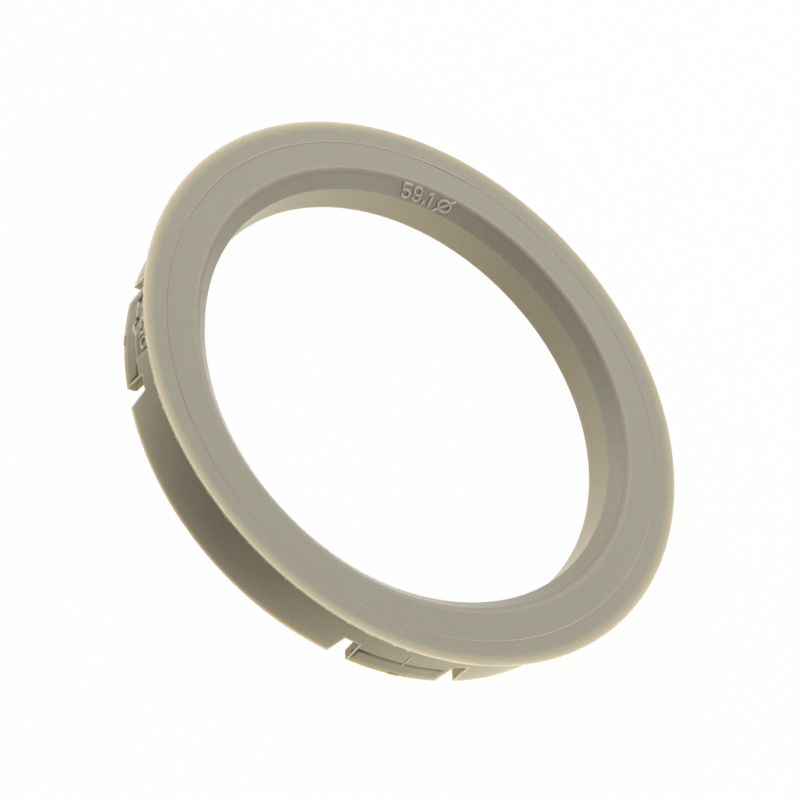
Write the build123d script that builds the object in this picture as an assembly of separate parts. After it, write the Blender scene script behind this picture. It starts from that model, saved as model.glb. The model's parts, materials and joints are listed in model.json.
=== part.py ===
from build123d import *
import math
import os

# Hub centring ring: a thin collar, a bored body and a slotted skirt with four spring tabs.
# It stands on the skirt's free edge with the collar up; Z is the ring's axis, millimetres.

# The bore, which slips over the hub, and its lead-in
BORE_DIA = 59.1
FACE_INNER_DIA = 62.8       # where the collar's flat face turns into the lead-in
LEAD_IN_DEPTH = 1.95
BACK_BREAK = 0.15           # broken edge at the bore's rear end
# The collar
HEIGHT = 10.4               # free edge of the skirt to the collar's face
COLLAR_DIA = 77.5
COLLAR_THICK = 1.0
RIM_LAND = 0.3              # straight part of the rim; the rear taper meets it at a sharp parting edge
RIM_ROUND = 0.12            # front edge of the rim
FACE_ROUND = 0.3            # soft edge between the face and the lead-in
# The spigot, which centres the wheel, and the skirt behind the body
SPIGOT_DIA = 72.4
SKIRT_DEPTH = 4.0           # the body stops here; below it only the skirt goes on
SKIRT_WALL = 2.0
ROOT_ROUND = 0.4            # inner corner between the skirt and the body
END_BREAK = 0.15            # broken edges of the skirt's free end
# Spring tabs: a pair of slots frees each one
TABS = 4
TAB_ANGLE = 220.0           # middle of the labelled tab, from +X, in degrees
SLOT_SPACING = 15.1         # between the middles of a tab's two slots, which run side by side
SLOT_TOP_WIDTH = 1.95
SLOT_OPEN_WIDTH = 2.65
TAB_WALL = 1.25
# Shallow panel on the outside of each tab, framed by a rib at each side and a lip at the end
PANEL_TOP = 3.2
PANEL_DEPTH = 0.3
PANEL_ROUND = 0.35
RIB = 0.55
LIP = 0.45
NOSE = 0.2                  # the lip swells this far past the spigot at the tab's middle
# Bare size panel above the first tab
LABEL_FROM = -7.0           # degrees from the tab's middle
LABEL_TO = 6.3
LABEL_BOTTOM = 3.5
LABEL_TOP = 7.8
LABEL_DEPTH = 0.25

BORE_R = BORE_DIA / 2
FACE_R = FACE_INNER_DIA / 2
COLLAR_R = COLLAR_DIA / 2
SPIGOT_R = SPIGOT_DIA / 2
SKIRT_R = SPIGOT_R - SKIRT_WALL
COLLAR_BACK = HEIGHT - COLLAR_THICK
REACH = 2.0                 # how far a cutter goes past the surface it opens


def polar(radius, degrees):
    return Vector(radius, 0, 0).rotate(Axis.Z, degrees)


def sector(inner, outer, start, end):
    """Flat ring segment between two radii and two angles, in degrees."""
    middle = (start + end) / 2
    outer_arc = ThreePointArc(polar(outer, start), polar(outer, middle), polar(outer, end))
    inner_arc = ThreePointArc(polar(inner, end), polar(inner, middle), polar(inner, start))
    side_a = Line(outer_arc @ 1, inner_arc @ 0)
    side_b = Line(inner_arc @ 1, outer_arc @ 0)
    return make_face([outer_arc, side_a, inner_arc, side_b])


def degrees_along(length, radius):
    return math.degrees(length / radius)


def plain_ring():
    """The turned shape, before the tabs are cut."""
    rim_taper = COLLAR_THICK - RIM_LAND
    outline = Polyline(
        (BORE_R, SKIRT_DEPTH + BACK_BREAK),
        (BORE_R, HEIGHT - LEAD_IN_DEPTH),
        (FACE_R, HEIGHT),
        (COLLAR_R, HEIGHT),
        (COLLAR_R, HEIGHT - RIM_LAND),
        (COLLAR_R - rim_taper, COLLAR_BACK),
        (SPIGOT_R, COLLAR_BACK),
        (SPIGOT_R, END_BREAK),
        (SPIGOT_R - END_BREAK, 0),
        (SKIRT_R + END_BREAK, 0),
        (SKIRT_R, END_BREAK),
        (SKIRT_R, SKIRT_DEPTH),
        (BORE_R + BACK_BREAK, SKIRT_DEPTH),
        close=True,
    )
    half = make_face(outline)
    for point, radius in (
        ((FACE_R, HEIGHT), FACE_ROUND),
        ((COLLAR_R, HEIGHT), RIM_ROUND),
        ((SKIRT_R, SKIRT_DEPTH), ROOT_ROUND),
    ):
        corner = half.vertices().sort_by_distance(point)[0]
        half = fillet(corner, radius)
    return revolve(Plane.XZ * half, Axis.Z)


def slot_cutter(degrees, side):
    """One of a tab's two tapered slots, open at the free edge; both run along the tab's own radius."""
    top = SLOT_TOP_WIDTH / 2
    foot = SLOT_OPEN_WIDTH / 2
    outline = Polyline((-foot, 0), (foot, 0), (top, SKIRT_DEPTH), (-top, SKIRT_DEPTH), close=True)
    start = Plane(origin=(SKIRT_R - REACH, side * SLOT_SPACING / 2, 0), x_dir=(0, 1, 0), z_dir=(1, 0, 0))
    blade = extrude(start * make_face(outline), SKIRT_WALL + 2 * REACH)
    return Rot(0, 0, degrees) * blade


def thinning_cutter(degrees):
    """Takes the inside of the skirt away behind a tab."""
    reach = degrees_along(SLOT_SPACING / 2, SKIRT_R)
    flat = sector(SKIRT_R - ROOT_ROUND, SPIGOT_R - TAB_WALL, degrees - reach, degrees + reach)
    return extrude(flat, SKIRT_DEPTH)


def panel_half_span():
    """Degrees from a tab's middle to the side of its panel, a rib's width short of the slot."""
    tab_half = (SLOT_SPACING - SLOT_OPEN_WIDTH) / 2
    return math.degrees(math.asin(tab_half / SPIGOT_R)) - degrees_along(RIB, SPIGOT_R)


def panel_cutter(degrees):
    """Shallow panel on the outside of a tab."""
    half_span = panel_half_span()
    flat = sector(SPIGOT_R - PANEL_DEPTH, SPIGOT_R + REACH, degrees - half_span, degrees + half_span)
    block = extrude(Pos(0, 0, LIP) * flat, PANEL_TOP - LIP)
    corners = block.edges().filter_by(GeomType.LINE).filter_by(Axis.Z, reverse=True)
    return fillet(corners, PANEL_ROUND)


def nose(degrees):
    """Crescent along the lip, proud of the spigot at the tab's middle only."""
    half_span = panel_half_span()
    chord = polar(SPIGOT_R, half_span)
    rise = SPIGOT_R + NOSE - chord.X
    radius = (chord.Y ** 2 + rise ** 2) / (2 * rise)
    disc = Pos(SPIGOT_R + NOSE - radius, 0) * Circle(radius)
    keep = sector(SPIGOT_R - TAB_WALL / 2, SPIGOT_R + REACH, -half_span, half_span)
    return Rot(0, 0, degrees) * extrude(disc & keep, LIP)


def label_cutter(degrees):
    """The bare size panel."""
    flat = sector(SPIGOT_R - LABEL_DEPTH, SPIGOT_R + REACH, degrees + LABEL_FROM, degrees + LABEL_TO)
    return extrude(Pos(0, 0, LABEL_BOTTOM) * flat, LABEL_TOP - LABEL_BOTTOM)


ring = plain_ring()
for index in range(TABS):
    middle = TAB_ANGLE + index * 360 / TABS
    ring -= thinning_cutter(middle)
    ring += nose(middle)
    ring -= panel_cutter(middle)
    ring -= slot_cutter(middle, -1)
    ring -= slot_cutter(middle, 1)
ring -= label_cutter(TAB_ANGLE)

os.makedirs("parts", exist_ok=True)
export_step(ring, "parts/centring_ring.step")
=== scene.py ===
import json
import math
from collections import namedtuple

import bmesh
import bpy
import numpy as np
from mathutils import Matrix, Vector


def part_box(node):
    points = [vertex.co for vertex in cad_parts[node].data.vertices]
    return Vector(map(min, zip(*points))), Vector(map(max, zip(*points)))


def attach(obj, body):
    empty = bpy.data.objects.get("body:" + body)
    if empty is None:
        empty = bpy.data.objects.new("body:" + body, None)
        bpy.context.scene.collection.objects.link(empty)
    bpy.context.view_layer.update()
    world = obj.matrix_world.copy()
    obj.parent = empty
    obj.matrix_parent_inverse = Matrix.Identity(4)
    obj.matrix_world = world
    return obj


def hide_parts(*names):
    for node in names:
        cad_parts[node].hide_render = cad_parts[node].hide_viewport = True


# Hub centring ring: one moulding of warm grey, slightly translucent plastic.
# Shapes are worked out in millimetres and degrees, and written to the scene in metres.
# Near a tab, an offset in degrees or a length along the wall is taken from the tab's middle.

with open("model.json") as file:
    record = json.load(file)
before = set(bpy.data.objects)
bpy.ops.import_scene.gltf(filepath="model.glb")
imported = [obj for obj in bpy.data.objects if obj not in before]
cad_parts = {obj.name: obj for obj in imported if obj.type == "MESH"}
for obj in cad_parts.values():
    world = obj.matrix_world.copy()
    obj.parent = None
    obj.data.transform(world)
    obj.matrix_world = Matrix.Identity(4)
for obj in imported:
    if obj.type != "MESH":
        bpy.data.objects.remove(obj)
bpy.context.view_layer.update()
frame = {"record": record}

MM = 0.001
NODE = "centring_ring"
BODY = "root"
LOW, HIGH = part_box(NODE)
MOUNTS = {mount["name"]: mount["dims"] for mount in frame["record"]["mounts"]}

# The turned shape
HEIGHT = (HIGH.z - LOW.z) / MM
COLLAR_R = (HIGH.x - LOW.x) / MM / 2
BORE_R = MOUNTS["hub_bore"]["r_mm"]
SPIGOT_R = MOUNTS["wheel_spigot"]["r_mm"]
FACE_R = 31.4  # where the face turns into the lead-in
LEAD_IN_DEPTH = 1.95
COLLAR_THICK = 1.0
RIM_LAND = 0.12  # straight part, down to the parting edge
RIM_TAPER = 0.7
SKIRT_DEPTH = 4.0  # height of the slots' flat ends and of the body's rear
SKIRT_WALL = 2.0
TAB_WALL = 1.25
FACE_ROUND = 1.2
RIM_ROUND = 0.06
EDGE_ROUND = 0.12  # at the bore's edges and behind the collar
ROOT_ROUND = 0.4
END_BREAK = 0.15
LEAD_IN_EDGE = HEIGHT - LEAD_IN_DEPTH
COLLAR_BACK = HEIGHT - COLLAR_THICK
SKIRT_R = SPIGOT_R - SKIRT_WALL
TAB_INNER_R = SPIGOT_R - TAB_WALL
ROOT_R = SKIRT_R - ROOT_ROUND

# The spring tabs and their slots
TABS = 4
LABELLED = 0  # the tab with the size panel above it
TAB_ANGLE = 220.0  # middle of that tab
QUARTER = 360 / TABS
SLOT_SPACING = 15.1  # between the middles of a tab's two slots, which run side by side
SLOT_TOP = 1.95
SLOT_OPEN = 2.65

# The shallow panel on each tab, above the lip at the free end
PANEL_HALF = 6.25
PANEL_TOP = 3.2
PANEL_DEPTH = 0.16
PANEL_RUN_OUT = 1.8  # it shallows over this length towards one side
LIP_FOOT = 0.2
LIP_TOP = 1.3
NOSE = 0.02  # the lip swells this far at the tab's middle
NOSE_TOP = 1.2
STEP_WIDTH = 0.07  # how wide a moulded step is
MOAT = 0.12  # the panel is deeper by this just inside its edges
MOAT_WIDTH = 0.3

# The size panel above the labelled tab
LABEL_LEFT = -4.75  # where its slanting end meets its lower edge
LABEL_SLANT = 0.6  # sideways for each millimetre up
LABEL_RIGHT = 3.98
LABEL_BOTTOM = 3.5
LABEL_DROOP = 0.2  # fall for each millimetre left of the dent
LABEL_TOP = 7.8
LABEL_DEPTH = 0.25
LABEL_MOAT = 0.06
DENT_LEFT = -2.0  # the lower edge sags here, most at the tip
DENT_TIP = -1.3
DENT_RIGHT = 0.8
DENT_DROP = 1.0
SLOPE_STEP = 0.01  # for measuring the slope of that edge
BURR = 0.11  # raised edge all round
BURR_WIDTH = 0.26

# Traces of the mould; waves are turns round the ring and the seed of their phases
LEAN = 0.3  # the lead-in's edge stands this far out along the near side
LEAN_AT = 270.0
LEAN_REACH = (58, 20)  # degrees from there to no lean and to full lean
LEAN_FOOT = 7.0  # the bore leans from this height up
LEAN_RADII = (33.5, 32.0)  # and the face inside these
FACE_SINK = 0.03  # the face lies this far below the rim's edge
FACE_SINK_BAND = (0.6, 1.2)  # in from the rim
RIDGE_R = 35.62  # fine ridge round the face, a little oval
RIDGE_OVAL = 0.08
RIDGE_TOWARD = 82.0
RIDGE_WAVER = 0.03
RIDGE_WAVES = ((5, 7, 11, 17), 3)
RIDGE_WIDTH = 0.06
RIDGE_STAND = 0.5  # share of the sink that it stands up
RIDGE_HOLD = 3.2  # widths within which the face moves with it
FLASH_FROM = 235.0  # ragged stretch of the rim's parting edge
FLASH_TO = 320.0
FLASH_FADE = 4.0
FLASH_SILL = 0.1
FLASH_TEETH = 62
FLASH_DEPTH = 0.38
FLASH_SEED = 11
TOOTH_HALF = (0.3, 0.6)  # degrees
TOOTH_DEPTH = (0.2, 1.0)  # shares of the depth of flash
RIM_WEAR = 0.014  # the rim falls short by this much, more or less
RIM_WEAR_SWING = 0.013
RIM_WEAR_BAND = (0.9, 0.1)  # in from the rim
RIM_WEAR_WAVES = ((5, 13, 29, 53, 97), 8)


def smooth(low, high, value):
    """0 at low, 1 at high, eased between; low may be the larger."""
    share = np.clip((value - low) / (high - low), 0.0, 1.0)
    return share * share * (3.0 - 2.0 * share)


def bell(distance, width):
    """1 at no distance, fading on both sides over a width."""
    return np.exp(-(distance / width) ** 2)


def steps(start, end, largest):
    """Even steps from start to end, none wider than largest."""
    return np.linspace(start, end, math.ceil(abs(end - start) / largest) + 1)


def waves(degrees, turns, seed):
    """Seeded waviness round the ring, between -1 and 1, from a range of turns."""
    draw = np.random.default_rng(seed)
    phases = draw.uniform(0, 2 * math.pi, len(turns))
    angle = np.radians(degrees)
    return sum(np.sin(turn * angle + phase) for turn, phase in zip(turns, phases)) / len(turns)


def tab_middle(index):
    return TAB_ANGLE + index * QUARTER


# Section lines; their rows are radii or heights, closest at fine relief
ARC_STEPS = 5
REAR_ROW = 32.0
BORE_ROWS = (4.4, 4.9, 6.3, 7.8, 8.2)
LEAD_IN_ROWS = (0.12, 0.35, 0.6, 0.82)  # shares of the way up
FACE_ROWS = np.concatenate([
    (32.2, 33.0, 34.0, 34.9),
    RIDGE_R + RIDGE_WIDTH * np.array((-3, -2, -1.4, -0.9, -0.45, 0, 0.45, 0.9, 1.4, 2, 3)),
    (36.4, 36.6, 36.8, 37.0),
    steps(37.2, COLLAR_R - 2 * RIM_ROUND, 0.16),
])
COLLAR_BACK_ROW = 37.2
SPIGOT_ROWS = np.concatenate([
    (9.0, 8.4),
    LABEL_TOP + STEP_WIDTH * np.array((2, 1, 0, -1, -2)),
    steps(7.2, 4.5, 0.55),
    (4.36, 4.24, 4.12, SKIRT_DEPTH),
])
SKIRT_ROWS = np.concatenate([
    (SKIRT_DEPTH,),
    LABEL_BOTTOM + STEP_WIDTH * np.array((3, 1.5, 0.8, 0, -0.8, -1.6)),
    PANEL_TOP + STEP_WIDTH * np.array((0.5, 0, -0.5, -1, -2, -3, -4, -5, -6.5, -8)),
    steps(2.5, LIP_TOP, 0.3),
    steps(1.15, END_BREAK, 0.12),
])
SKIRT_INNER_ROWS = (0.5, 1.6, 2.8)
END_BREAK_ROW = (0.4, 0.35)  # shares of the break, inward and upward


def fillet_points(corner, before, after, radius):
    """Points of the arc that rounds a corner of a section."""
    corner, before, after = (Vector(point) for point in (corner, before, after))
    back = (before - corner).normalized()
    ahead = (after - corner).normalized()
    half = back.angle(ahead) / 2
    centre = corner + (back + ahead).normalized() * (radius / math.sin(half))
    first = corner + back * (radius / math.tan(half)) - centre
    last = corner + ahead * (radius / math.tan(half)) - centre
    turn = first.angle_signed(last)
    return [centre + Matrix.Rotation(-turn * step / ARC_STEPS, 2) @ first for step in range(ARC_STEPS + 1)]


def section(stations):
    """Section line from stations (radius, height, rounding); a rounded station becomes an arc."""
    points = []
    for index, (radius, height, rounding) in enumerate(stations):
        if rounding:
            before = stations[index - 1][:2]
            after = stations[index + 1][:2]
            points += fillet_points((radius, height), before, after, rounding)
        else:
            points.append((radius, height))
    return np.array([tuple(point) for point in points])


def body_section():
    """From the skirt's root over the bore, the face and the rim, down the spigot to the slots."""
    run = FACE_R - BORE_R
    return section([
        (ROOT_R, SKIRT_DEPTH, 0),
        (REAR_ROW, SKIRT_DEPTH, 0),
        (BORE_R, SKIRT_DEPTH, EDGE_ROUND),
        *[(BORE_R, height, 0) for height in BORE_ROWS],
        (BORE_R, LEAD_IN_EDGE, EDGE_ROUND),
        *[(BORE_R + share * run, LEAD_IN_EDGE + share * LEAD_IN_DEPTH, 0) for share in LEAD_IN_ROWS],
        (FACE_R, HEIGHT, FACE_ROUND),
        *[(radius, HEIGHT, 0) for radius in FACE_ROWS],
        (COLLAR_R, HEIGHT, RIM_ROUND),
        (COLLAR_R, HEIGHT - RIM_LAND, 0),
        (COLLAR_R - RIM_TAPER / 2, HEIGHT - RIM_LAND - RIM_TAPER / 2, 0),
        (COLLAR_R - RIM_TAPER, COLLAR_BACK, 0),
        (COLLAR_BACK_ROW, COLLAR_BACK, 0),
        (SPIGOT_R, COLLAR_BACK, EDGE_ROUND),
        *[(SPIGOT_R, height, 0) for height in SPIGOT_ROWS],
    ])


def skirt_stations(inner):
    """From the slots' flat ends down the outside of the skirt and some way up its inside."""
    inward, upward = (share * END_BREAK for share in END_BREAK_ROW)
    return [
        *[(SPIGOT_R, height, 0) for height in SKIRT_ROWS],
        (SPIGOT_R - inward, upward, 0),
        (SPIGOT_R - END_BREAK, 0, 0),
        ((SPIGOT_R + inner) / 2, 0, 0),
        (inner + END_BREAK, 0, 0),
        (inner, END_BREAK, 0),
        *[(inner, height, 0) for height in SKIRT_INNER_ROWS],
    ]


def tab_section():
    """Section of a thinned tab and the flat over it."""
    return section(skirt_stations(TAB_INNER_R) + [(TAB_INNER_R, SKIRT_DEPTH, 0), (ROOT_R, SKIRT_DEPTH, 0)])


def skirt_section():
    """Section of the full skirt, with its rounded root; the last station only aims the rounding."""
    root = (SKIRT_R, SKIRT_DEPTH, ROOT_ROUND)
    aim = (BORE_R, SKIRT_DEPTH, 0)
    return section(skirt_stations(SKIRT_R) + [root, aim])[:-1]


# Columns round the ring, in degrees from a tab's middle
NEAR_SIDE = 10.4  # a slot's two sides
FAR_SIDE = 13.6
TAB_HOLD = 9.3  # columns follow the slots' sides between this and the next
SKIRT_HOLD = 16.0
TAB_BANDS = (0, 8.2, 9.4, NEAR_SIDE)  # a tab's plain middle, near its edge, its edge
NEAR_TABS = 2  # the first tabs have finer columns than the rest
NEAR_TAB_STEPS = (0.45, 0.2, 0.1)
FAR_TAB_STEPS = (0.7, 0.3, 0.2)
SLOT_STEP = 0.8
PAST_SLOT = (0.1, 0.2, 0.35, 0.55, 0.9, 1.4)
SKIRT_STEP = 1.2
RAGGED_STEP = 0.3  # between the two near tabs, where the rim is ragged
LABEL_END = (-9.2, -6.6)  # the size panel's slanting end
LABEL_LEAN_HOLD = -2.0  # columns right of this stay upright
LABEL_LEAN_ROOM = 0.2  # millimetres above the panel, where the lean starts to fade
LABEL_COLUMNS = [  # more at the size panel's two ends and at its dent
    steps(*LABEL_END, 0.12),
    math.degrees(LABEL_RIGHT / SPIGOT_R) + steps(-0.3, 0.4, 0.09),
    math.degrees(DENT_LEFT / SPIGOT_R) + steps(-0.1, 2.7, 0.09),
]


def quarter_columns(index):
    """Column offsets over one quarter; close together where there is fine relief."""
    widest = NEAR_TAB_STEPS if index < NEAR_TABS else FAR_TAB_STEPS
    half = [steps(*band) for band in zip(TAB_BANDS, TAB_BANDS[1:], widest)]
    half += [steps(NEAR_SIDE, FAR_SIDE, SLOT_STEP), FAR_SIDE + np.array(PAST_SLOT)]
    after = steps(SKIRT_HOLD, QUARTER / 2, RAGGED_STEP if index == 0 else SKIRT_STEP)
    before = steps(SKIRT_HOLD, QUARTER / 2, RAGGED_STEP if index == 1 else SKIRT_STEP)
    columns = half + [after] + [-part for part in half + [before]]
    if index == LABELLED:
        columns += LABEL_COLUMNS
    return np.unique(np.round(np.concatenate(columns), 4))


def body_columns():
    """Offset and tab's middle of each column all round."""
    offsets = [quarter_columns(index)[:-1] for index in range(TABS)]
    middles = [np.full(offset.shape, tab_middle(index)) for index, offset in enumerate(offsets)]
    return np.concatenate(offsets), np.concatenate(middles)


def slot_sides(radius, height):
    """Angles of a slot's near and far side from the tab's middle; they run along the tab's own radius."""
    width = SLOT_OPEN + (SLOT_TOP - SLOT_OPEN) * np.clip(height / SKIRT_DEPTH, 0, 1)
    near = np.degrees(np.arcsin((SLOT_SPACING - width) / 2 / radius))
    far = np.degrees(np.arcsin((SLOT_SPACING + width) / 2 / radius))
    return near, far


def bent(offset, radius, height):
    """Column angle, from a tab's middle, once the columns beside a slot follow its sides."""
    near, far = slot_sides(radius, height)
    size = np.abs(offset)
    inner = TAB_HOLD + (size - TAB_HOLD) * (near - TAB_HOLD) / (NEAR_SIDE - TAB_HOLD)
    middle = near + (size - NEAR_SIDE) * (far - near) / (FAR_SIDE - NEAR_SIDE)
    outer = SKIRT_HOLD - (SKIRT_HOLD - size) * (SKIRT_HOLD - far) / (SKIRT_HOLD - FAR_SIDE)
    moved = np.select([size <= TAB_HOLD, size <= NEAR_SIDE, size <= FAR_SIDE, size <= SKIRT_HOLD],
                      [size, inner, middle, outer], size)
    return np.sign(offset) * moved


def label_slide(offset, height):
    """How far the columns lean, in degrees, to follow the size panel's slanting end."""
    rise = np.clip(height, SKIRT_DEPTH, LABEL_TOP) - SKIRT_DEPTH
    upright = smooth(COLLAR_BACK, LABEL_TOP + LABEL_LEAN_ROOM, height)
    near = smooth(-SKIRT_HOLD, LABEL_END[0], offset) * smooth(LABEL_LEAN_HOLD, LABEL_END[1], offset)
    return -np.degrees(LABEL_SLANT * rise / SPIGOT_R) * upright * near


# Relief of the outer wall
def label_low(along):
    """Height of the size panel's lower edge."""
    dent = DENT_DROP * smooth(DENT_LEFT, DENT_TIP, along) * smooth(DENT_RIGHT, DENT_TIP, along)
    return LABEL_BOTTOM - dent - LABEL_DROOP * np.clip(DENT_LEFT - along, 0, None)


def label_distance(along, height):
    """Distance to the size panel's edge, less than 0 inside the panel."""
    slope = (label_low(along + SLOPE_STEP) - label_low(along - SLOPE_STEP)) / (2 * SLOPE_STEP)
    below = (label_low(along) - height) / np.hypot(1, slope)
    left = LABEL_LEFT - LABEL_SLANT * (height - LABEL_BOTTOM)
    sides = np.maximum(left - along, along - LABEL_RIGHT)
    return np.maximum(sides, np.maximum(below, height - LABEL_TOP))


def panel_edges(along, height, labelled):
    """How far a point is inside a tab's panel: from its top, its grooved side and its shallow side."""
    toward = along if labelled else -along
    return PANEL_TOP - height, PANEL_HALF - toward, PANEL_HALF + toward


def tab_relief(along, height, labelled):
    """Relief of a tab's panel and of the swelling of its lip."""
    below, beside, run_out = panel_edges(along, height, labelled)
    grooved = np.minimum(below, beside)
    inside = smooth(0, STEP_WIDTH, grooved) * smooth(0, PANEL_RUN_OUT, run_out)
    groove = MOAT * bell(grooved - STEP_WIDTH, MOAT_WIDTH)
    sunk = (PANEL_DEPTH + groove) * inside * smooth(LIP_FOOT, LIP_TOP, height)
    crown = np.clip(1 - (along / PANEL_HALF) ** 2, 0, 1)
    return NOSE * crown * smooth(NOSE_TOP, LIP_FOOT, height) - sunk


def wall_relief(offset, height, labelled):
    """How far the outer wall stands off the spigot's cylinder near a tab."""
    along = np.radians(offset) * SPIGOT_R
    relief = tab_relief(along, height, labelled)
    if labelled:
        label = label_distance(along, height)
        pocket = smooth(0, -STEP_WIDTH, label)
        moat = LABEL_MOAT * bell(label + STEP_WIDTH, MOAT_WIDTH)
        relief = relief * (1 - pocket) - (LABEL_DEPTH + moat) * pocket
        relief = relief + BURR * bell(label, BURR_WIDTH)
    return relief


def flash_share(degrees):
    """1 along the ragged stretch of the rim, 0 elsewhere."""
    start = smooth(FLASH_FROM - FLASH_FADE, FLASH_FROM + FLASH_FADE, degrees)
    return start * smooth(FLASH_TO + FLASH_FADE, FLASH_TO - FLASH_FADE, degrees)


def flash_drop(degrees):
    """Teeth of flash below the rim's parting edge."""
    draw = np.random.default_rng(FLASH_SEED)
    drop = FLASH_SILL * flash_share(degrees)
    for _ in range(FLASH_TEETH):
        at = draw.uniform(FLASH_FROM, FLASH_TO)
        half = draw.uniform(*TOOTH_HALF)
        depth = FLASH_DEPTH * draw.uniform(*TOOTH_DEPTH)
        drop = np.maximum(drop, depth * np.clip(1 - np.abs(degrees - at) / half, 0, 1))
    return drop


# Painted looks, each from 0 to 1: glow painted on thin edges, shade painted in grooves, warmth painted on
# walls, amber glow painted on free ends
GLOW, SHADE, PAINTED_WARM, AMBER_GLOW = range(4)
CLOSE = 0.2  # points this near count as on a wall, the bore or the lead-in
TOP_BAND = 0.3  # and points this far down as on the face
RIM_FOOT = COLLAR_BACK + 0.3
RIM_GLOW_FROM = SPIGOT_R + 0.5
# Painted glow by the distance in from the rim
RIM_GLOW = ((0.05, 1.0), (0.25, 0.75), (0.45, 0.5), (0.65, 0.33), (0.95, 0.14), (1.5, 0.0))
FAR_RIM = 75.0  # the painted glow of the rim is less on the far side
FAR_RIM_REACH = (45, 80)
FAR_RIM_SHARE = 0.6
# painted highlight on the rounded inner edge of the face
FACE_EDGE_GLOW = 0.12
FACE_EDGE_R = FACE_R + 0.3
FACE_EDGE_WIDTH = 0.25
# painted light along the lead-in's edge at the bore
LEAD_IN_GLOW = 0.1
LEAD_IN_GLOW_REACH = 0.2
NEAR_LEAD_IN_GLOW = 0.3  # painted light added where the lead-in leans out
# painted light on the wall beside and just over the slots
SLOT_GLOW = 0.8
SLOT_GLOW_REACH = (0.38, 0.08)
NO_SLOT = 9.0  # far from any slot
SLOT_MARGIN = 0.3  # degrees
# warmth is painted on the walls for light bounced between them and passed through the plastic; the face
# stays grey
FACE_WARMTH = 0.15  # of the face outside the fine ridge; it is full at the rim
FACE_WARM_RADII = (35.5, 36.2)
RIM_WARM_BAND = (1.65, 0.8)  # in from the rim
LEAD_IN_WARMTH = 0.1
END_AMBER_GLOW = ((0.15, 1.0), (0.3, 1.0), (0.6, 0.55), (1.0, 0.13), (1.5, 0.0))  # painted amber glow, up from the free end
# painted amber glow at the bore's rear end
BORE_AMBER_GLOW = 0.1
BORE_AMBER_GLOW_HEIGHTS = (5.0, 4.1)
TAB_AMBER_GLOW = 0.65  # share of it that the tabs have
AMBER_GLOW_AT = 265.0  # the skirt's near side, where the painted amber glow is full
AMBER_GLOW_REACH = (25, 50)
AMBER_GLOW_LOSS = 0.6
# painted shade over the outer wall
WALL_SHADE = 0.13
GROOVE_SHADE = 0.65  # painted shade in the grooves inside the top and one side of a tab's panel
GROOVE_SOFT = 0.03
TOP_GROOVE = (1.0, 0.7)
SIDE_GROOVE = (0.6, 0.35)
LABELLED_GROOVE = 0.3  # the labelled tab's groove is wider by this much
CORNER_SHADE = 0.25
CORNER_REACH = (3.0, 0.4)
# painted shade over a tab's panel
PANEL_SHADE = 0.38
LABELLED_SHADE = 0.46
PANEL_SOFT = 0.3
POCKET_SHADE = 0.52  # painted shade of the size panel, at its edges
POCKET_FLOOR = 0.15  # share of it that is left in the middle
POCKET_WIDTH = 0.45
LABEL_MARGIN = (0.3, 0.6)  # painted shade of the tab starts this far from the size panel
LABEL_CLEAR = 0.5
BURR_GLOW = 0.95  # light painted on the raised edge round the size panel
BURR_OUT = 0.2
RIDGE_PALE = 0.42  # light is painted on the ridge's flank toward one side and shade on its other flank
RIDGE_DARK = 0.42
RIDGE_PALE_SIDE = 150.0
RIDGE_FLANK = 1.4  # widths from its top
RIDGE_BACK = 1.6  # how much light is painted on its top, opposite that side
RIDGE_BACK_DARK = 0.3  # and how little of the painted shade on its flank is left there
RIDGE_BACK_FROM = -0.9
RIDGE_PATCHY = 0.3
RIDGE_PATCHES = ((5, 9, 31, 53), 5)
RIDGE_CLEAREST = 122.0
RIDGE_CLEAR = 1.2
RIDGE_CLEAR_REACH = (10, 3)
RIDGE_FAINTEST = 292.0
RIDGE_FAINT = 0.65
RIDGE_FAINT_REACH = (45, 10)
FLASH_BAND = 0.13  # in from the rim, where amber glow is painted on the flash
FLASH_DULL = 0.5


def edge_glow(radius, height, from_slot):
    """Glow painted on thin edges, for the light that passes through them."""
    rim = np.where(height > RIM_FOOT, np.interp(COLLAR_R - radius, *zip(*RIM_GLOW)), 0)
    inner = FACE_EDGE_GLOW * bell(radius - FACE_EDGE_R, FACE_EDGE_WIDTH)
    face = rim + np.where(height > HEIGHT - TOP_BAND, inner, 0)
    edge = LEAD_IN_GLOW * smooth(LEAD_IN_GLOW_REACH, 0.0, np.abs(height - LEAD_IN_EDGE))
    lead_in = np.where(radius < BORE_R + CLOSE, edge, 0)
    slot = SLOT_GLOW * smooth(*SLOT_GLOW_REACH, from_slot)
    return np.maximum(np.maximum(face, lead_in), slot)


def rim_share(angle):
    """The glow painted on the rim is less on the far side."""
    away = np.abs((angle - FAR_RIM + 180) % 360 - 180)
    return FAR_RIM_SHARE + (1 - FAR_RIM_SHARE) * smooth(*FAR_RIM_REACH, away)


def within_lead_in(radius, height):
    return (radius < FACE_R) & (height > LEAD_IN_EDGE - CLOSE)


def painted_warmth(radius, height):
    """Painted warmth: little on the grey middle of the face and on the lead-in, full on the walls, for
    light bounced between the walls and passed through the plastic.
    """
    rim = smooth(COLLAR_R - RIM_WARM_BAND[0], COLLAR_R - RIM_WARM_BAND[1], radius)
    outer = FACE_WARMTH * smooth(*FACE_WARM_RADII, radius) + (1 - FACE_WARMTH) * rim
    on_top = (height > HEIGHT - TOP_BAND) | within_lead_in(radius, height)
    return np.where(on_top, np.where(radius > FACE_R, outer, LEAD_IN_WARMTH), 1.0)


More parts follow.
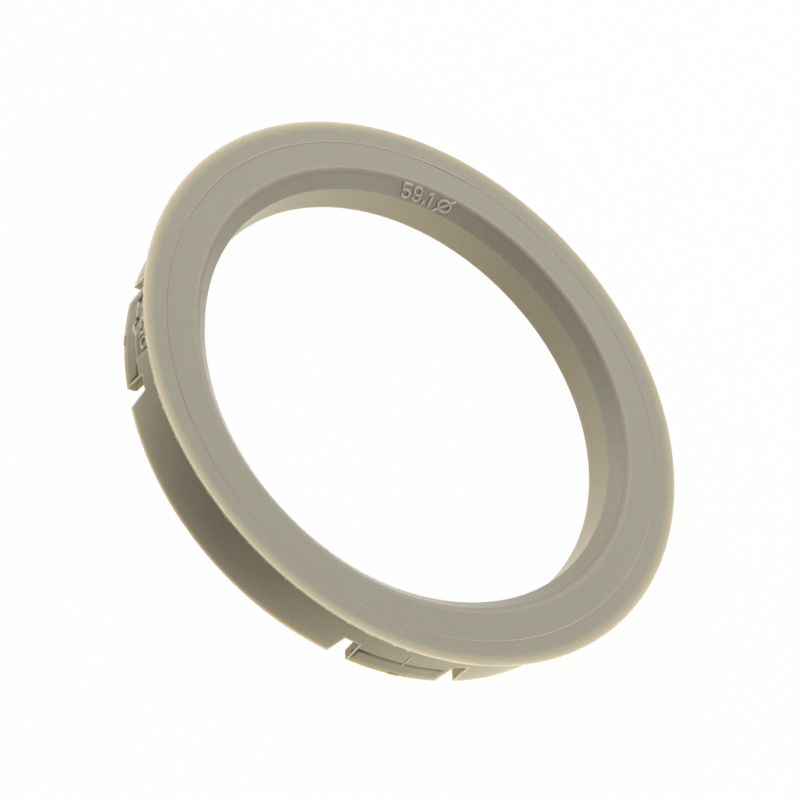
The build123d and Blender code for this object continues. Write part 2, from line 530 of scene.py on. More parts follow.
def painted_amber_glow(radius, height):
    """Amber glow painted on the free ends, brown and then cream, for light passing through the thin
    plastic.
    """
    skirt = np.where(radius > TAB_INNER_R - CLOSE, np.interp(height, *zip(*END_AMBER_GLOW)), 0)
    bore = np.where(radius < BORE_R + CLOSE, BORE_AMBER_GLOW * smooth(*BORE_AMBER_GLOW_HEIGHTS, height), 0)
    return np.maximum(skirt, bore)


def amber_glow_share(angle):
    """The amber glow painted on the free end is full only along the near side."""
    return 1 - AMBER_GLOW_LOSS * smooth(*AMBER_GLOW_REACH, np.abs(angle % 360 - AMBER_GLOW_AT))


def plain_looks(sheet, from_slot=NO_SLOT):
    """Painted glow, shade, warmth and amber glow of a sheet's points before any relief, in the last axis.
    """
    radius, height = sheet.plain_r, sheet.plain_z
    share = np.where(radius > RIM_GLOW_FROM, rim_share(sheet.angle), 1)
    glow = edge_glow(radius, height, from_slot) * share
    on_wall = (np.abs(radius - SPIGOT_R) < CLOSE) & (height < COLLAR_BACK)
    shade = np.where(on_wall, WALL_SHADE, 0)
    return np.stack([glow, shade, painted_warmth(radius, height), painted_amber_glow(radius, height)], -1)


def panel_shade(along, height, labelled):
    """How much shade is painted on a tab's panel, most in the grooves inside its edges."""
    below, beside, run_out = panel_edges(along, height, labelled)
    grooved = np.minimum(below, beside)
    side = smooth(*SIDE_GROOVE, beside - (LABELLED_GROOVE if labelled else 0))
    near_edge = np.maximum(smooth(*TOP_GROOVE, below), side) * smooth(-GROOVE_SOFT, GROOVE_SOFT, grooved)
    groove = (GROOVE_SHADE + CORNER_SHADE * smooth(*CORNER_REACH, np.hypot(below, beside))) * near_edge
    if labelled:
        groove = groove * smooth(0, LABEL_CLEAR, along - LABEL_RIGHT)
    panel = (LABELLED_SHADE if labelled else PANEL_SHADE) * smooth(0, PANEL_SOFT, grooved)
    fade = smooth(LIP_FOOT, LIP_TOP, height) * smooth(0, PANEL_RUN_OUT / 2, run_out)
    return np.maximum(groove, panel) * fade


def wall_looks(offset, height, labelled):
    """Glow painted on burrs and shade painted in grooves on the outer wall near a tab."""
    along = np.radians(offset) * SPIGOT_R
    shade = panel_shade(along, height, labelled)
    glow = np.zeros_like(shade)
    if labelled:
        label = label_distance(along, height)
        deep = POCKET_FLOOR + (1 - POCKET_FLOOR) * bell(label, POCKET_WIDTH)
        pocket = POCKET_SHADE * deep * smooth(0, -STEP_WIDTH, label)
        shade = shade * smooth(*LABEL_MARGIN, label) + pocket
        glow = BURR_GLOW * bell(label - BURR_OUT, BURR_WIDTH)
    return glow, shade


def ridge_looks(across, degrees):
    """Light painted on one flank of the ridge and shade painted on the other; across is in widths from its
    top.
    """
    toward = np.cos(np.radians(degrees - RIDGE_PALE_SIDE))
    clear = smooth(*RIDGE_CLEAR_REACH, np.abs(degrees - RIDGE_CLEAREST))
    faint = smooth(*RIDGE_FAINT_REACH, np.abs(degrees - RIDGE_FAINTEST))
    patchy = RIDGE_PATCHY * waves(degrees, *RIDGE_PATCHES)
    strength = (1 + patchy + RIDGE_CLEAR * clear) * (1 - RIDGE_FAINT * faint)
    pale = RIDGE_PALE * np.maximum(toward, -RIDGE_BACK * toward)
    pale = pale * bell(across - RIDGE_FLANK * np.maximum(toward, 0), 1)
    left = RIDGE_BACK_DARK + (1 - RIDGE_BACK_DARK) * smooth(RIDGE_BACK_FROM, 0, toward)
    dark = RIDGE_DARK * left * bell(across + RIDGE_FLANK * toward, 1)
    return strength * pale, strength * dark


# The ring's mesh
WELD = 1e-7  # metres
SHARP_ANGLE = 38.0
SLOT_OUTLINE = 0.48  # light painted along the outline of a slot's wall, toward the outside
SLOT_INNER_OUTLINE = 0.12
OUTLINE_FULL = 0.6  # share of the outline that has as much painted light as its edge
# Looks of a slot wall: light painted on its edge, and shade and amber glow painted inside
SLOT_EDGE_LOOKS = (0.7, 0.0, 1.0, 0.0)
SLOT_WALL_LOOKS = (0.0, 0.42, 1.0, 0.45)


class Sheet:
    """Grid of points: a row for each point of a section line, a column for each angle round the ring.

    plain_r and plain_z are the section's own radius and height, before any relief.
    """

    def __init__(self, line, offset, middle):
        shape = (len(line), offset.size)
        self.offset = offset
        self.middle = middle
        self.plain_r = np.broadcast_to(line[:, :1], shape)
        self.plain_z = np.broadcast_to(line[:, 1:], shape)
        self.angle = middle + bent(offset, np.maximum(self.plain_r, ROOT_R), self.plain_z)
        self.radius = self.plain_r.copy()
        self.height = self.plain_z.copy()
        self.looks = plain_looks(self)

    def strengthen(self, look, value):
        """Raises a look to a value where it is less."""
        self.looks[..., look] = np.maximum(self.looks[..., look], value)


def place(radius, height, angle):
    """Points in metres from ring coordinates."""
    turn = np.radians(angle)
    return np.stack([radius * np.cos(turn), radius * np.sin(turn), height], -1) * MM


def store_looks(mesh, looks):
    """Keeps the looks with the mesh's points, for the finish."""
    stored = mesh.attributes.new("looks", "FLOAT_COLOR", "POINT")
    stored.data.foreach_set("color", np.asarray(looks, np.float32).ravel())


class RingMesh:
    """Collects sheets of quads and slot walls, then welds them into one closed mesh."""

    def __init__(self):
        self.points = []
        self.looks = []
        self.faces = []
        self.count = 0

    def add_points(self, points, looks):
        first = self.count
        self.points.append(points.reshape(-1, 3))
        self.looks.append(looks.reshape(-1, 4))
        self.count += points.size // 3
        return first

    def add_band(self, low, high, count, closed):
        """Quads between two rows of points, given by their first points' numbers."""
        for column in range(count if closed else count - 1):
            after = (column + 1) % count
            self.faces.append((low + column, low + after, high + after, high + column))

    def add_sheet(self, sheet, closed=False):
        rows, columns = sheet.radius.shape
        first = self.add_points(place(sheet.radius, sheet.height, sheet.angle), sheet.looks)
        for row in range(rows - 1):
            low = first + row * columns
            self.add_band(low, low + columns, columns, closed)

    def add_wall(self, radius, height, angle):
        """Flat slot wall, with light painted along its outline and shade painted inside."""
        outline = place(radius, height, angle)
        inward = outline.mean(0) - outline
        width = np.where(radius > SPIGOT_R - CLOSE, SLOT_OUTLINE, SLOT_INNER_OUTLINE)
        inward = inward * (width * MM / np.linalg.norm(inward, axis=1))[:, None]
        count = radius.size
        first = self.add_points(outline, np.tile(SLOT_EDGE_LOOKS, (count, 1)))
        for share, looks in ((OUTLINE_FULL, SLOT_EDGE_LOOKS), (1.0, SLOT_WALL_LOOKS)):
            second = self.add_points(outline + share * inward, np.tile(looks, (count, 1)))
            self.add_band(first, second, count, True)
            first = second
        self.faces.append(tuple(range(first, first + count)))

    def build(self, name):
        mesh = bpy.data.meshes.new(name)
        mesh.from_pydata(np.concatenate(self.points).tolist(), [], self.faces)
        store_looks(mesh, np.concatenate(self.looks))
        welded = bmesh.new()
        welded.from_mesh(mesh)
        bmesh.ops.remove_doubles(welded, verts=welded.verts, dist=WELD)
        bmesh.ops.recalc_face_normals(welded, faces=welded.faces)
        welded.to_mesh(mesh)
        welded.free()
        mesh.shade_smooth()
        mesh.set_sharp_from_angle(angle=math.radians(SHARP_ANGLE))
        return mesh


# The body, with the traces of the mould on it
def raise_ridge(sheet):
    """Sinks the face, less at the fine ridge, which wavers and has light painted on one flank and shade on
    the other.
    """
    degrees = sheet.angle % 360
    on_face = np.isclose(sheet.plain_z, HEIGHT) & (sheet.plain_r > FACE_R)
    across = (sheet.plain_r - RIDGE_R) / RIDGE_WIDTH
    pale, dark = ridge_looks(across, degrees)
    sheet.looks[..., GLOW] += np.where(on_face, pale, 0)
    sheet.looks[..., SHADE] += np.where(on_face, dark, 0)
    sunk = FACE_SINK * (1 - RIDGE_STAND * bell(across, 1))
    in_from_rim = smooth(*FACE_SINK_BAND, COLLAR_R - sheet.plain_r)
    sheet.height -= np.where(on_face, sunk * in_from_rim, 0)
    off = RIDGE_OVAL * np.cos(2 * np.radians(degrees - RIDGE_TOWARD))
    off = off + RIDGE_WAVER * waves(degrees, *RIDGE_WAVES)
    sheet.radius += np.where(on_face, off * np.exp(-(across / RIDGE_HOLD) ** 4), 0)


def lean_lead_in(sheet):
    """Moves the lead-in's edge out along the near side, where light is also painted on it."""
    near_side = smooth(*LEAN_REACH, np.abs(sheet.angle % 360 - LEAN_AT))
    share = smooth(LEAN_FOOT, LEAD_IN_EDGE, sheet.plain_z) * smooth(*LEAN_RADII, sheet.plain_r)
    sheet.radius += LEAN * near_side * share
    inside = within_lead_in(sheet.plain_r, sheet.plain_z)
    sheet.looks[..., GLOW] += np.where(inside, NEAR_LEAD_IN_GLOW * near_side, 0)


def roughen_rim(sheet):
    """Wears the rim unevenly and hangs flash from its parting edge, with amber glow painted on the flash
    in place of part of the rim's painted glow.
    """
    degrees = sheet.angle % 360
    in_from_rim = COLLAR_R - sheet.plain_r
    wear = RIM_WEAR + RIM_WEAR_SWING * waves(degrees, *RIM_WEAR_WAVES)
    sheet.radius -= wear * smooth(*RIM_WEAR_BAND, in_from_rim)
    parting = np.isclose(sheet.plain_r, COLLAR_R) & np.isclose(sheet.plain_z, HEIGHT - RIM_LAND)
    sheet.height -= np.where(parting, flash_drop(degrees), 0)
    edge = (in_from_rim < FLASH_BAND) & (sheet.plain_z > RIM_FOOT)
    ragged = np.where(edge, flash_share(degrees), 0)
    sheet.looks[..., GLOW] *= 1 - FLASH_DULL * ragged
    sheet.strengthen(AMBER_GLOW, ragged)


def outline_slots(sheet):
    """Paints light on the wall just over the slots."""
    turn = np.abs(sheet.offset)
    over_slot = (turn > NEAR_SIDE - SLOT_MARGIN) & (turn < FAR_SIDE + SLOT_MARGIN)
    glow = SLOT_GLOW * smooth(SLOT_GLOW_REACH[0], 0, sheet.plain_z - SKIRT_DEPTH)
    on_wall = np.isclose(sheet.plain_r, SPIGOT_R)
    sheet.looks[..., GLOW] = np.where(on_wall & over_slot, glow, sheet.looks[..., GLOW])


def emboss_wall(sheet, on_wall, offset, labelled):
    """Gives the outer wall its relief near a tab, with light painted on burrs and shade painted in
    grooves.
    """
    sheet.radius += np.where(on_wall, wall_relief(offset, sheet.plain_z, labelled), 0)
    glow, shade = wall_looks(offset, sheet.plain_z, labelled)
    sheet.strengthen(GLOW, np.where(on_wall, glow, 0))
    sheet.strengthen(SHADE, np.where(on_wall, shade, 0))


def sink_size_panel(sheet):
    """Sinks the size panel into the wall, with columns that lean along its slanting end."""
    on_wall = np.isclose(sheet.plain_r, SPIGOT_R) & (sheet.middle == tab_middle(LABELLED))
    slide = np.where(on_wall, label_slide(sheet.offset, sheet.plain_z), 0)
    sheet.angle += slide
    emboss_wall(sheet, on_wall, sheet.offset + slide, True)


def body_sheet():
    """Everything above the slots."""
    sheet = Sheet(body_section(), *body_columns())
    raise_ridge(sheet)
    lean_lead_in(sheet)
    roughen_rim(sheet)
    outline_slots(sheet)
    sink_size_panel(sheet)
    return sheet


# The slotted skirt
def skirt_sheet(line, offset, middle, side, amber):
    """Stretch of skirt that ends at its slots' near (0) or far (1) side, with light painted along the
    slots; amber is the share of painted amber glow it keeps.
    """
    sheet = Sheet(line, offset, middle)
    slot = slot_sides(sheet.plain_r, sheet.plain_z)[side]
    from_slot = np.abs(np.radians(np.abs(sheet.angle - middle) - slot)) * SPIGOT_R
    sheet.looks = plain_looks(sheet, from_slot)
    sheet.looks[..., AMBER_GLOW] *= amber_glow_share(sheet.angle) * amber
    return sheet


def add_tab(ring, offset, middle, labelled):
    """A spring tab, with its two slot walls."""
    sheet = skirt_sheet(tab_section(), offset, middle, 0, TAB_AMBER_GLOW)
    emboss_wall(sheet, sheet.plain_r > SPIGOT_R - CLOSE, offset, labelled)
    ring.add_sheet(sheet)
    for end in (0, -1):
        ring.add_wall(sheet.radius[:-1, end], sheet.height[:-1, end], sheet.angle[:-1, end])


def add_skirt_arc(ring, offset, middle):
    """The skirt between two tabs, with its two slot walls."""
    sheet = skirt_sheet(skirt_section(), offset, middle, 1, 1)
    ring.add_sheet(sheet)
    far = slot_sides(TAB_INNER_R, SKIRT_DEPTH)[1]
    for end in (0, -1):
        radius = np.append(sheet.radius[:, end], TAB_INNER_R)
        height = np.append(sheet.height[:, end], SKIRT_DEPTH)
        angle = np.append(sheet.angle[:, end], middle[end] + np.sign(offset[end]) * far)
        ring.add_wall(radius, height, angle)


def add_slot_top(ring, offset, middle):
    line = np.array([(radius, SKIRT_DEPTH) for radius in (SPIGOT_R, TAB_INNER_R, ROOT_R)])
    ring.add_sheet(Sheet(line, offset, middle))


def add_quarter(ring, index):
    """A tab, the skirt up to the next tab, and the flat ends of the tab's slots."""
    middle = tab_middle(index)
    columns = quarter_columns(index)
    following = quarter_columns((index + 1) % TABS)
    add_tab(ring, columns[np.abs(columns) <= NEAR_SIDE], middle, index == LABELLED)
    after = columns[columns >= FAR_SIDE][:-1]
    before = following[following <= -FAR_SIDE]
    middles = np.concatenate([np.full(after.shape, middle), np.full(before.shape, middle + QUARTER)])
    add_skirt_arc(ring, np.concatenate([after, before]), middles)
    for sign in (-1, 1):
        slot = columns[(columns * sign >= NEAR_SIDE) & (columns * sign <= FAR_SIDE)]
        add_slot_top(ring, slot, middle)


def build_ring():
    ring = RingMesh()
    ring.add_sheet(body_sheet(), closed=True)
    for index in range(TABS):
        add_quarter(ring, index)
    return ring.build("ring_moulding")


def new_object(name, data):
    thing = bpy.data.objects.new(name, data)
    bpy.context.scene.collection.objects.link(thing)
    return thing


def new_piece(name, mesh, material):
    piece = new_object(name, mesh)
    piece.data.materials.append(material)
    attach(piece, BODY)
    return piece


# Rounded beads, for raised figures and lines: light painted on top and shade painted at the foot
Bead = namedtuple("Bead", "half_width rise glow shade")
BEAD_SIDES = 16
BEAD_CAP = 3  # rings in a bead's rounded end
BEAD_TIP = 0.02  # size of the last one
BEAD_SPACING = 0.08
BEAD_PALE = (0.1, 0.8)  # shares of the rise
BEAD_DARK = (0.75, 0.2)


def even_points(line):
    """The same polyline with points no further apart than the bead's spacing."""
    points = [line[0]]
    for start, end in zip(line, line[1:]):
        gap = math.dist(start, end)
        for share in np.linspace(0, 1, math.ceil(gap / BEAD_SPACING) + 1)[1:]:
            points.append(tuple(a + (b - a) * share for a, b in zip(start, end)))
    return points


def bead_rings(at, ahead, half_width):
    """Centre, nearest point's number and size of each ring of a bead."""
    swings = [math.pi / 2 * step / BEAD_CAP for step in range(1, BEAD_CAP + 1)]
    rings = []
    for swing in reversed(swings):
        rings.append((at[0] - ahead[0] * half_width * math.sin(swing), 0, math.cos(swing) + BEAD_TIP))
    rings += [(point, index, 1.0) for index, point in enumerate(at)]
    for swing in swings:
        rings.append((at[-1] + ahead[-1] * half_width * math.sin(swing), -1, math.cos(swing) + BEAD_TIP))
    return rings


def skin_loops(mesh, loops):
    for first, second in zip(loops, loops[1:]):
        for corner in range(BEAD_SIDES):
            after = (corner + 1) % BEAD_SIDES
            mesh.faces.new((first[corner], first[after], second[after], second[corner]))
    mesh.faces.new(list(reversed(loops[0])))
    mesh.faces.new(loops[-1])


def add_bead(mesh, places, bead, tops):
    """One bead along points with surface normals; tops takes each corner's share of the rise."""
    at = [Vector(point) for point, _ in places]
    up = [Vector(normal) for _, normal in places]
    ahead = [(b - a).normalized() for a, b in zip(at, at[1:])]
    ahead.append(ahead[-1])
    loops = []
    for centre, index, size in bead_rings(at, ahead, bead.half_width):
        side = ahead[index].cross(up[index]).normalized()
        loop = []
        for corner in range(BEAD_SIDES):
            turn = 2 * math.pi * corner / BEAD_SIDES
            out = side * bead.half_width * math.cos(turn) + up[index] * bead.rise * math.sin(turn)
            loop.append(mesh.verts.new((centre + size * out) * MM))
            tops.append(math.sin(turn))
        loops.append(loop)
    skin_loops(mesh, loops)


def bead_piece(name, lines, bead, material):
    """One piece made of beads along lines of (point, normal)."""
    beads = bmesh.new()
    tops = []
    for places in lines:
        add_bead(beads, places, bead, tops)
    bmesh.ops.recalc_face_normals(beads, faces=beads.faces)
    mesh = bpy.data.meshes.new(name)
    beads.to_mesh(mesh)
    beads.free()
    mesh.shade_smooth()
    top = np.array(tops)
    glow = bead.glow * smooth(*BEAD_PALE, top)
    shade = bead.shade * smooth(*BEAD_DARK, top)
    plain = np.zeros_like(top)
    store_looks(mesh, np.stack([glow, shade, plain, plain], -1))
    new_piece(name, mesh, material)


# Figures as single strokes, from each one's left foot; the unit is a figure's height
Figure = namedtuple("Figure", "advance strokes")
ARC_SPACING = 12.0


def arc(centre_x, centre_y, half_w, half_h, start, end):
    angles = np.radians(steps(start, end, ARC_SPACING))
    return [(centre_x + half_w * math.cos(a), centre_y + half_h * math.sin(a)) for a in angles]


FIGURES = {
    "1": Figure(0.89, [[(0.0, 0.78), (0.25, 1.0), (0.21, 0.0)]]),
    "2": Figure(0.93, [arc(0.29, 0.71, 0.28, 0.29, 165, -35) + [(0.0, 0.0), (0.58, 0.0)]]),
    "5": Figure(0.93, [[(0.57, 1.0), (0.02, 1.0), (0.05, 0.45)] + arc(0.33, 0.29, 0.31, 0.29, 145, -150)]),
    "6": Figure(0.93, [
        [(0.48, 1.0), (0.2, 0.72), (0.05, 0.45)],
        arc(0.3, 0.29, 0.29, 0.29, 0, 360),
    ]),
    "7": Figure(0.86, [[(0.0, 1.0), (0.56, 1.0), (0.2, 0.0)]]),
    "9": Figure(0.91, [
        arc(0.29, 0.71, 0.28, 0.29, 0, 360),
        [(0.57, 0.71), (0.57, 0.32)] + arc(0.29, 0.28, 0.28, 0.28, 0, -150),
    ]),
    ".": Figure(0.33, [[(0.0, -0.02), (0.08, 0.2)]]),
    "dia": Figure(1.3, [arc(0.48, 0.48, 0.48, 0.40, 0, 360), [(-0.19, -0.14), (1.09, 1.08)]]),
}


def mark_strokes(figures, height):
    """Strokes of a row of figures, in millimetres from the first figure's foot."""
    strokes = []
    start = 0.0
    for figure in figures:
        for stroke in FIGURES[figure].strokes:
            strokes.append([((x + start) * height, y * height) for x, y in stroke])
        start += FIGURES[figure].advance
    return strokes


# The bore's size, on the lead-in
BORE_MARK = ("5", "9", ".", "1", "dia")
BORE_MARK_ANGLE = 132.0  # left foot of the first figure
BORE_MARK_FOOT = 0.42  # up the slope from the bore
BORE_MARK_HEIGHT = 1.83
BORE_MARK_R = BORE_R + 1.0  # lengths along the lead-in are true here
BORE_MARK_BEAD = Bead(half_width=0.2, rise=0.2, glow=0.78, shade=0.25)


def lead_in_spot(x, y):
    """Point and normal on the lead-in, x along it to the right and y up its slope."""
    slope = math.atan2(LEAD_IN_DEPTH, FACE_R - BORE_R)
    radius = BORE_R + y * math.cos(slope)
    turn = math.radians(BORE_MARK_ANGLE) - x / BORE_MARK_R
    out = Vector((math.cos(turn), math.sin(turn), 0))
    point = out * radius + Vector((0, 0, LEAD_IN_EDGE + y * math.sin(slope)))
    return point, Vector((0, 0, math.cos(slope))) - out * math.sin(slope)


def build_bore_mark(material):
    lines = []
    for stroke in mark_strokes(BORE_MARK, BORE_MARK_HEIGHT):
        lines.append([lead_in_spot(x, y + BORE_MARK_FOOT) for x, y in even_points(stroke)])
    bead_piece("bore_size_mark", lines, BORE_MARK_BEAD, material)


# The wheel's size, in the panel above the labelled tab
SPIGOT_MARK = ("7", "2", ".", "6")
SPIGOT_MARK_LEFT = -3.6
SPIGOT_MARK_FOOT = 4.25
SPIGOT_MARK_HEIGHT = 2.55
SPIGOT_MARK_BEAD = Bead(half_width=0.28, rise=0.22, glow=0.35, shade=0.1)


def wall_spot(index, x, height):
    """Point and normal on the outer wall at a tab, x along it from the tab's middle."""
    offset = math.degrees(x / SPIGOT_R)
    turn = math.radians(tab_middle(index) + offset)
    relief = float(wall_relief(np.array(offset), np.array(height), index == LABELLED))
    out = Vector((math.cos(turn), math.sin(turn), 0))
    return out * (SPIGOT_R + relief) + Vector((0, 0, height)), out


def along_wall(index, points):
    return [wall_spot(index, x, height) for x, height in points]


def build_spigot_mark(material):
    lines = []
    for stroke in mark_strokes(SPIGOT_MARK, SPIGOT_MARK_HEIGHT):
        spots = [(x + SPIGOT_MARK_LEFT, y + SPIGOT_MARK_FOOT) for x, y in even_points(stroke)]
        lines.append(along_wall(LABELLED, spots))
    bead_piece("spigot_size_mark", lines, SPIGOT_MARK_BEAD, material)


# A thin line of flash down the middle of each plain tab, and the gate's stub on each lip
SEAM_TOP = 4.9
SEAM_FOOT = 2.55
SEAM_LEAN = 0.3
SEAM_BEAD = Bead(half_width=0.16, rise=0.08, glow=0.4, shade=0.0)
STUB_AT = (-0.5, 0.25, 0.25, 0.25)
STUB_HALF = 0.55
STUB_HEIGHT = 0.28
STUB_BEAD = Bead(half_width=0.17, rise=0.17, glow=0.7, shade=0.1)


def build_seams(material):
    line = even_points([(-SEAM_LEAN / 2, SEAM_TOP), (SEAM_LEAN / 2, SEAM_FOOT)])
    lines = [along_wall(index, line) for index in range(TABS) if index != LABELLED]
    bead_piece("tab_seams", lines, SEAM_BEAD, material)


def build_stubs(material):
    lines = []
    for index, middle in enumerate(STUB_AT):
        line = even_points([(middle - STUB_HALF, STUB_HEIGHT), (middle + STUB_HALF, STUB_HEIGHT)])
        lines.append(along_wall(index, line))
    bead_piece("gate_stubs", lines, STUB_BEAD, material)


# Finish
# FACE_COLOR is the plastic's own grey; WALL_COLOR is the same plastic painted warmer for bounced and
# transmitted light; PALE_COLOR and GLOW_COLOR are painted glow; the brown and cream are painted amber
# glow; SHADE_COLOR is painted shade
FACE_COLOR = (0.338, 0.315, 0.24, 1)
WALL_COLOR = (0.405, 0.354, 0.226, 1)
PALE_COLOR = (0.70, 0.665, 0.52, 1)
GLOW_COLOR = (0.755, 0.665, 0.468, 1)
BROWN_GLOW_COLOR = (0.60, 0.45, 0.205, 1)
CREAM_GLOW_COLOR = (0.98, 0.87, 0.57, 1)
SHADE_COLOR = (0.085, 0.07, 0.045, 1)
TO_BROWN = (0, 0.5)  # the painted amber glow turns the colour brown and then cream
TO_CREAM = (0.5, 1)
NOISE_RANGE = (0.3, 0.7)  # where a noise's values mostly lie
MOTTLE = (1500, 8)  # scale and detail of a noise
MOTTLE_TONES = (0.95, 1.05)
MOTTLE_ROUGHNESS = (0.42, 0.58)
GRAIN = (5200, 3)
GRAIN_TONES = (0.92, 1.08)
GRAIN_BUMP = 0.15
GRAIN_HEIGHT = 0.00004  # metres
GLOSS = (0.5, 0.05)  # specular level, plain and under full painted shade
TRANSLUCENCE = 0.25
LIGHT_REACH = 0.0004  # metres that light travels inside
LIGHT_TINT = (1.0, 0.8, 0.5)
MIX_SHARE, MIX_FIRST, MIX_SECOND, MIX_RESULT = 0, 6, 7, 2  # colour sockets of a mix node


def feed(tree, node, inputs):
    """Sets inputs of a node to fixed values, or links them to sockets."""
    for key, value in inputs.items():
        if isinstance(value, bpy.types.NodeSocket):
            tree.links.new(value, node.inputs[key])
        else:
            node.inputs[key].default_value = value


def add_node(tree, kind, inputs, **settings):
    node = tree.nodes.new(kind)
    for key, value in settings.items():
        setattr(node, key, value)
    feed(tree, node, inputs)
    return node


def mix_color(tree, share, first, second):
    inputs = {MIX_SHARE: share, MIX_FIRST: first, MIX_SECOND: second}
    return add_node(tree, "ShaderNodeMix", inputs, data_type="RGBA").outputs[MIX_RESULT]


def noise(tree, coordinates, scale, detail):
    inputs = {"Vector": coordinates, "Scale": scale, "Detail": detail}
    return add_node(tree, "ShaderNodeTexNoise", inputs).outputs["Fac"]


def remap(tree, value, source, target=(0, 1)):
    """A socket's values in one range carried over to another, and held at its ends."""
    ranges = dict(zip(("From Min", "From Max", "To Min", "To Max"), (*source, *target)))
    return add_node(tree, "ShaderNodeMapRange", {"Value": value, **ranges}).outputs["Result"]


def vary(tree, color, value, tones):
    """A colour made lighter and darker by a noise."""
    inputs = {"Color": color, "Value": remap(tree, value, NOISE_RANGE, tones)}
    return add_node(tree, "ShaderNodeHueSaturation", inputs).outputs["Color"]


def stored_looks(tree):
    """Sockets of the looks that are kept with the mesh."""
    stored = add_node(tree, "ShaderNodeAttribute", {}, attribute_name="looks")
    parts = add_node(tree, "ShaderNodeSeparateColor", {"Color": stored.outputs["Color"]})
    return [*parts.outputs, stored.outputs["Alpha"]]


def moulded_color(tree, looks):
    """Grey on the face and painted warmer on the walls, with amber glow painted on free ends, glow painted
    on thin edges and shade painted in grooves.
    """
    warm = looks[PAINTED_WARM]
    color = mix_color(tree, warm, FACE_COLOR, WALL_COLOR)
    color = mix_color(tree, remap(tree, looks[AMBER_GLOW], TO_BROWN), color, BROWN_GLOW_COLOR)
    color = mix_color(tree, remap(tree, looks[AMBER_GLOW], TO_CREAM), color, CREAM_GLOW_COLOR)
    color = mix_color(tree, looks[GLOW], color, mix_color(tree, warm, PALE_COLOR, GLOW_COLOR))
    return mix_color(tree, looks[SHADE], color, SHADE_COLOR)


def plastic(name):
    """Moulded plastic, mottled and finely grained, a little translucent, less glossy where shade is
    painted.
    """
    material = bpy.data.materials.new(name)
    material.use_nodes = True
    tree = material.node_tree
    coordinates = add_node(tree, "ShaderNodeTexCoord", {}).outputs["Object"]
    mottle = noise(tree, coordinates, *MOTTLE)
    grain = noise(tree, coordinates, *GRAIN)
    bump = {"Strength": GRAIN_BUMP, "Distance": GRAIN_HEIGHT, "Height": grain}
    looks = stored_looks(tree)
    color = vary(tree, moulded_color(tree, looks), mottle, MOTTLE_TONES)
    feed(tree, tree.nodes["Principled BSDF"], {
        "Base Color": vary(tree, color, grain, GRAIN_TONES),
        "Roughness": remap(tree, mottle, NOISE_RANGE, MOTTLE_ROUGHNESS),
        "Specular IOR Level": remap(tree, looks[SHADE], (0, 1), GLOSS),
        "Normal": add_node(tree, "ShaderNodeBump", bump).outputs["Normal"],
        "Subsurface Weight": TRANSLUCENCE,
        "Subsurface Radius": LIGHT_TINT,
        "Subsurface Scale": LIGHT_REACH,
    })
    return material


# Studio
WHITE = (1, 1, 1, 1)
FLOOR_HALF = 3.0  # metres
FLOOR_LEVEL = -0.00005
FLOOR_MATTE = (0.65, 0.65, 0.65, 1)
FLOOR_WHITE = 0.985  # share of plain white, to the camera
CAMERA_AT = Vector((0.988, -223.313, 227.949)) * MM
CAMERA_AIM = Vector((-0.137, -5.319, 10.4)) * MM
CAMERA_ROLL = 47.053
CAMERA_LENS = 112.381
CAMERA_SENSOR = 36
CAMERA_NEAR = 0.01
# Softboxes: azimuth and elevation as seen from the ring, size in metres, power in watts
SOFTBOXES = (
    ("back_box", 90, 50, 0.5, 2.4),
    ("back_left_box", 130, 50, 0.5, 1.0),
    ("left_box", 170, 30, 0.5, 3.3),
    ("right_box", 355, 31, 0.5, 2.9),
)
SOFTBOX_DISTANCE = 0.8
# Low strips that stand on the floor: azimuth, power in watts
STRIPS = (
    ("right_strip", 350, 0.19),
    ("left_strip", 178, 0.13),
)
STRIP_DISTANCE = 0.2
STRIP_LENGTH = 0.12
STRIP_HEIGHT = 0.009
# A lit panel in the floor, as wide as the ring over it
FLOOR_PANEL_WIDTH = 2 * COLLAR_R * MM
FLOOR_PANEL_POWER = 0.0085


def mix_shader(tree, share, first, second):
    return add_node(tree, "ShaderNodeMixShader", {0: share, 1: first, 2: second}).outputs[0]


def white_to_camera(tree, white, lit):
    """White to rays that look at it, straight or by gloss or glass, and lit otherwise."""
    path = add_node(tree, "ShaderNodeLightPath", {}).outputs
    seen = path["Is Camera Ray"]
    for other in ("Is Glossy Ray", "Is Transmission Ray"):
        inputs = {0: seen, 1: path[other]}
        seen = add_node(tree, "ShaderNodeMath", inputs, operation="MAXIMUM").outputs[0]
    return mix_shader(tree, seen, lit, white)


def build_world():
    """White to look at, and dark otherwise: the lamps alone light the ring."""
    world = bpy.data.worlds.new("studio")
    bpy.context.scene.world = world
    world.use_nodes = True
    tree = world.node_tree
    dark = tree.nodes["Background"]
    feed(tree, dark, {"Strength": 0})
    white = add_node(tree, "ShaderNodeBackground", {"Color": WHITE, "Strength": 1})
    surface = white_to_camera(tree, white.outputs[0], dark.outputs[0])
    feed(tree, tree.nodes["World Output"], {"Surface": surface})


def floor_white(name):
    """Nearly white to look at, with a faint shadow, and plain matte otherwise."""
    material = bpy.data.materials.new(name)
    material.use_nodes = True
    tree = material.node_tree
    tree.nodes.remove(tree.nodes["Principled BSDF"])
    matte = add_node(tree, "ShaderNodeBsdfDiffuse", {"Color": FLOOR_MATTE}).outputs[0]
    white = add_node(tree, "ShaderNodeEmission", {"Strength": 1}).outputs[0]
    faint = mix_shader(tree, FLOOR_WHITE, matte, white)
    feed(tree, tree.nodes["Material Output"], {"Surface": white_to_camera(tree, faint, matte)})
    return material


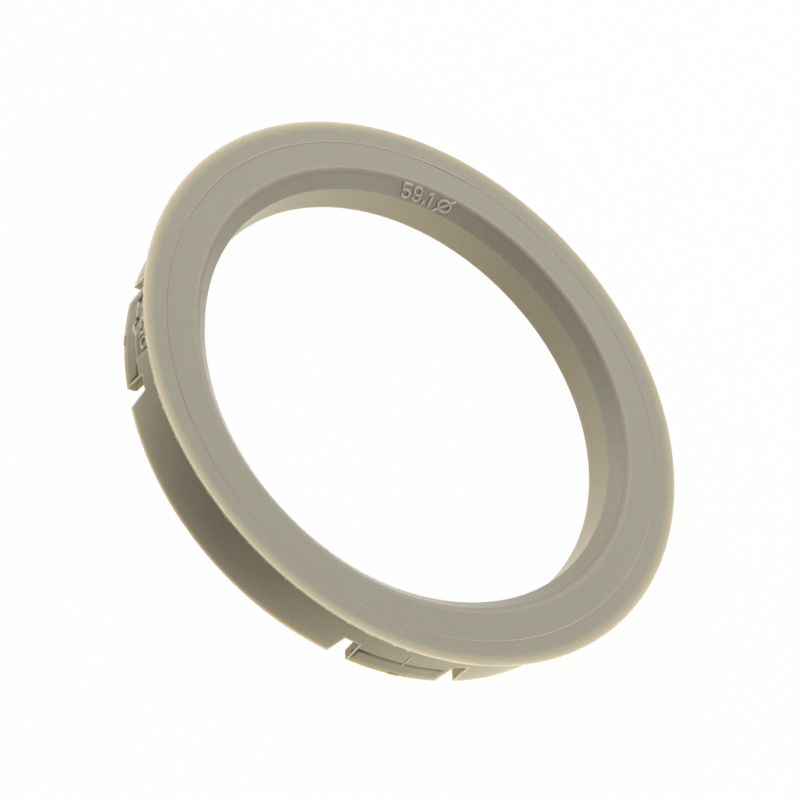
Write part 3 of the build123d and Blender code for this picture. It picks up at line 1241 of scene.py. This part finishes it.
def build_floor():
    mesh = bpy.data.meshes.new("floor")
    signs = ((-1, -1), (1, -1), (1, 1), (-1, 1))
    corners = [(x * FLOOR_HALF, y * FLOOR_HALF, FLOOR_LEVEL) for x, y in signs]
    mesh.from_pydata(corners, [], [(0, 1, 2, 3)])
    mesh.materials.append(floor_white("floor_white"))
    floor = new_object("floor", mesh)


def direction(azimuth, elevation):
    across = math.cos(math.radians(elevation))
    turn = math.radians(azimuth)
    return Vector((across * math.cos(turn), across * math.sin(turn), math.sin(math.radians(elevation))))


def add_lamp(name, toward, distance, width, height, power):
    """Area lamp at a distance from the ring, facing it, hidden from the camera."""
    light = bpy.data.lights.new(name, "AREA")
    light.shape = "RECTANGLE"
    light.size = width
    light.size_y = height
    light.energy = power
    lamp = new_object(name, light)
    lamp.location = toward * distance
    lamp.rotation_euler = toward.to_track_quat("Z", "Y").to_euler()
    lamp.visible_camera = False
    return lamp


def build_lamps():
    for name, azimuth, elevation, size, power in SOFTBOXES:
        add_lamp(name, direction(azimuth, elevation), SOFTBOX_DISTANCE, size, size, power)
    for name, azimuth, power in STRIPS:
        strip = add_lamp(name, direction(azimuth, 0), STRIP_DISTANCE, STRIP_LENGTH, STRIP_HEIGHT, power)
        strip.location.z = STRIP_HEIGHT / 2
    down = Vector((0, 0, -1))
    panel = add_lamp("floor_panel", down, 0, FLOOR_PANEL_WIDTH, FLOOR_PANEL_WIDTH, FLOOR_PANEL_POWER)
    panel.data.shape = "ELLIPSE"


def build_camera():
    camera = new_object("camera", bpy.data.cameras.new("camera"))
    camera.data.lens = CAMERA_LENS
    camera.data.sensor_width = CAMERA_SENSOR
    camera.data.clip_start = CAMERA_NEAR
    aim = (CAMERA_AIM - CAMERA_AT).to_track_quat("-Z", "Y").to_matrix().to_4x4()
    roll = Matrix.Rotation(math.radians(CAMERA_ROLL), 4, "Z")
    camera.matrix_world = Matrix.Translation(CAMERA_AT) @ aim @ roll
    bpy.context.scene.camera = camera


grey_plastic = plastic("grey_plastic")
ring_piece = new_piece("ring_moulding", build_ring(), grey_plastic)
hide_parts(NODE)
build_bore_mark(grey_plastic)
build_spigot_mark(grey_plastic)
build_seams(grey_plastic)
build_stubs(grey_plastic)
build_world()
build_floor()
build_lamps()
build_camera()
bpy.context.scene.view_settings.view_transform = "Standard"
